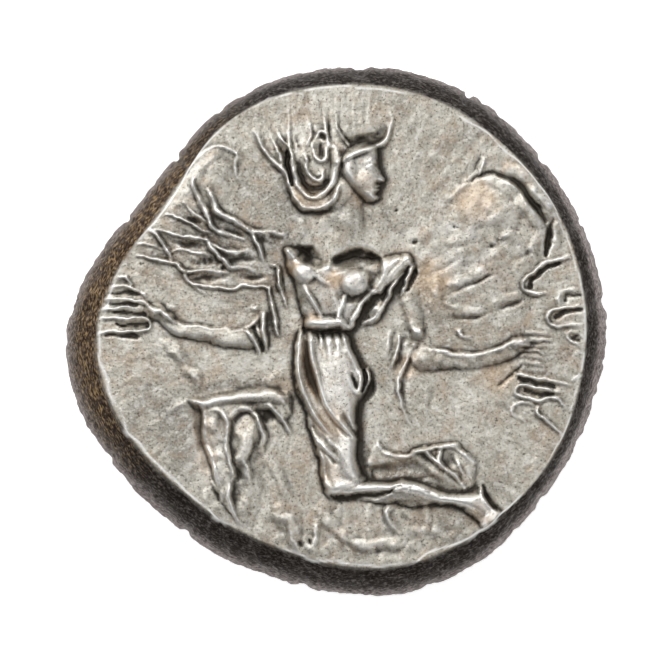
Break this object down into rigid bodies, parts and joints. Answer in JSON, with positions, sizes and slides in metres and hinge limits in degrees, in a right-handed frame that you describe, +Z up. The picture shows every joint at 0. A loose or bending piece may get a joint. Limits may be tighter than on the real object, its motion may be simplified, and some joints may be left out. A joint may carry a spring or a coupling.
{
  "type": "stater coin",
  "caption": "Struck silver stater: thick uneven flan, a winged kneeling figure in relief on the face, a sunk square with a conical stone on the back.",
  "frame": {"origin": "middle of the coin's outline, on the flat land of its reverse", "axes": "+Z up out of the struck face, +Y towards the figure's head, +X to the figure's left hand, right in the picture"},
  "size_m": [0.0208, 0.0204, 0.0048],
  "materials": {
    "toned_silver": "old struck silver, worn and toned"
  },
  "bodies": {
    "root": {"coin": "toned_silver"}
  },
  "joints": []
}
